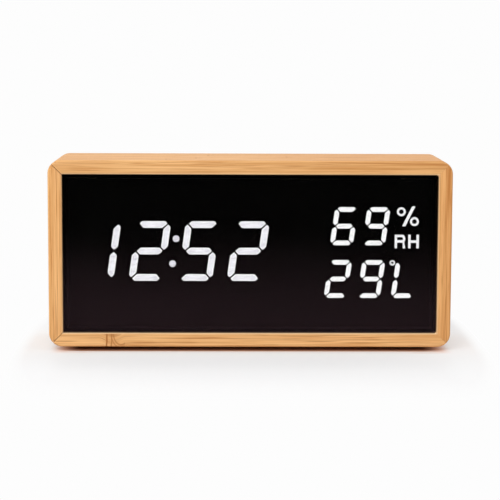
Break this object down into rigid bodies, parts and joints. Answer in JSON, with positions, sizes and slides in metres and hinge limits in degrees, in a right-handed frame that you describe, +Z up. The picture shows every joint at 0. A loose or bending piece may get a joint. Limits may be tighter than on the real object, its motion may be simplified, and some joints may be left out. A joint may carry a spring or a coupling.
{
  "type": "digital led desk clock",
  "caption": "Table clock: mitred bamboo frame round a smoked panel with lit white digits for time, humidity and temperature, rubber feet, rear keys, charging socket and battery door.",
  "frame": {"origin": "on the table, below the middle of the case", "axes": "+X to the right seen from the front, +Y from the front to the back, +Z up"},
  "size_m": [0.15, 0.04, 0.0713],
  "materials": {
    "bamboo": "satin lacquered bamboo strips",
    "block_wood": "sawn softwood",
    "foot_rubber": "moulded black rubber",
    "smoked_acrylic": "dark smoked clear acrylic, polished",
    "foam_tape": "thin black adhesive tape",
    "diffuser": "tinted light-spreading film",
    "lit_segment": "milky epoxy, lit white",
    "dark_segment": "milky epoxy, unlit behind the tinted film",
    "lamp_chip": "small surface-mount lamp",
    "black_plastic": "moulded black plastic",
    "cover_plastic": "black spark-textured plastic",
    "key_plastic": "black satin plastic with engraved icon",
    "plunger_plastic": "natural plastic switch plunger",
    "circuit_board": "green solder mask on glass epoxy board",
    "chip_plastic": "black moulded chip with tinned legs",
    "can_metal": "drawn metal can",
    "switch_metal": "tinned sheet steel",
    "screw_steel": "zinc plated steel",
    "cell_jacket": null,
    "contact_metal": "nickel plated spring steel",
    "red_insulation": "soft red insulation",
    "black_insulation": "soft black insulation",
    "ribbon_insulation": "grey flat cable insulation",
    "sensor_plastic": "pale slotted sensor housing",
    "bead_resin": "dark resin bead"
  },
  "bodies": {
    "case": {"frame_top": "bamboo", "frame_bottom": "bamboo", "frame_left": "bamboo", "frame_right": "bamboo", "corner_blocks": "block_wood", "rubber_feet": "foot_rubber", "front_panel": "smoked_acrylic", "panel_tape": "foam_tape", "diffuser_film": "diffuser", "time_digits": "lit_segment", "colon_dots": "lit_segment", "humidity_digits": "lit_segment", "temperature_digits": "lit_segment", "unit_marks": "lit_segment", "unlit_segments": "dark_segment", "segment_leds": "lamp_chip", "display_housing": "black_plastic", "ribbon_socket_main": "black_plastic", "ribbon_socket_key": "black_plastic", "tact_switch_bases": "black_plastic", "buzzer": "black_plastic", "usb_tongue": "black_plastic", "rear_cover": "cover_plastic", "main_board": "circuit_board", "key_board": "circuit_board", "controller_chip": "chip_plastic", "driver_chip": "chip_plastic", "crystal_can": "can_metal", "capacitors": "can_metal", "tact_switch_covers": "switch_metal", "usb_shell": "switch_metal", "rear_cover_screws": "screw_steel", "main_board_screws": "screw_steel", "key_board_screws": "screw_steel", "battery_cell_1": "cell_jacket", "battery_cell_2": "cell_jacket", "battery_cell_3": "cell_jacket", "battery_positive_contact": "contact_metal", "battery_negative_contact": "contact_metal", "battery_bridge_inner": "contact_metal", "battery_bridge_outer": "contact_metal", "battery_springs": "contact_metal", "battery_lead_red": "red_insulation", "battery_lead_black": "black_insulation", "ribbon_cable": "ribbon_insulation", "humidity_sensor": "sensor_plastic", "thermistor": "bead_resin"},
    "set_key": {"set_button": "key_plastic", "set_plunger": "plunger_plastic"},
    "up_key": {"up_button": "key_plastic", "up_plunger": "plunger_plastic"},
    "down_key": {"down_button": "key_plastic", "down_plunger": "plunger_plastic"},
    "door": {"battery_door": "cover_plastic"}
  },
  "joints": [
    {"name": "set_press", "type": "slide", "parent": "case", "child": "set_key", "axis": [0, -1, 0], "range_m": [0, 0.0003], "stiffness_N_per_m": 2000},
    {"name": "up_press", "type": "slide", "parent": "case", "child": "up_key", "axis": [0, -1, 0], "range_m": [0, 0.0003], "stiffness_N_per_m": 2000},
    {"name": "down_press", "type": "slide", "parent": "case", "child": "down_key", "axis": [0, -1, 0], "range_m": [0, 0.0003], "stiffness_N_per_m": 2000},
    {"name": "battery_door_swing", "type": "hinge", "parent": "case", "child": "door", "pos_m": [0.05286, 0.0165, 0.0364], "axis": [0, 0, -1], "range_deg": [0, 75]}
  ]
}
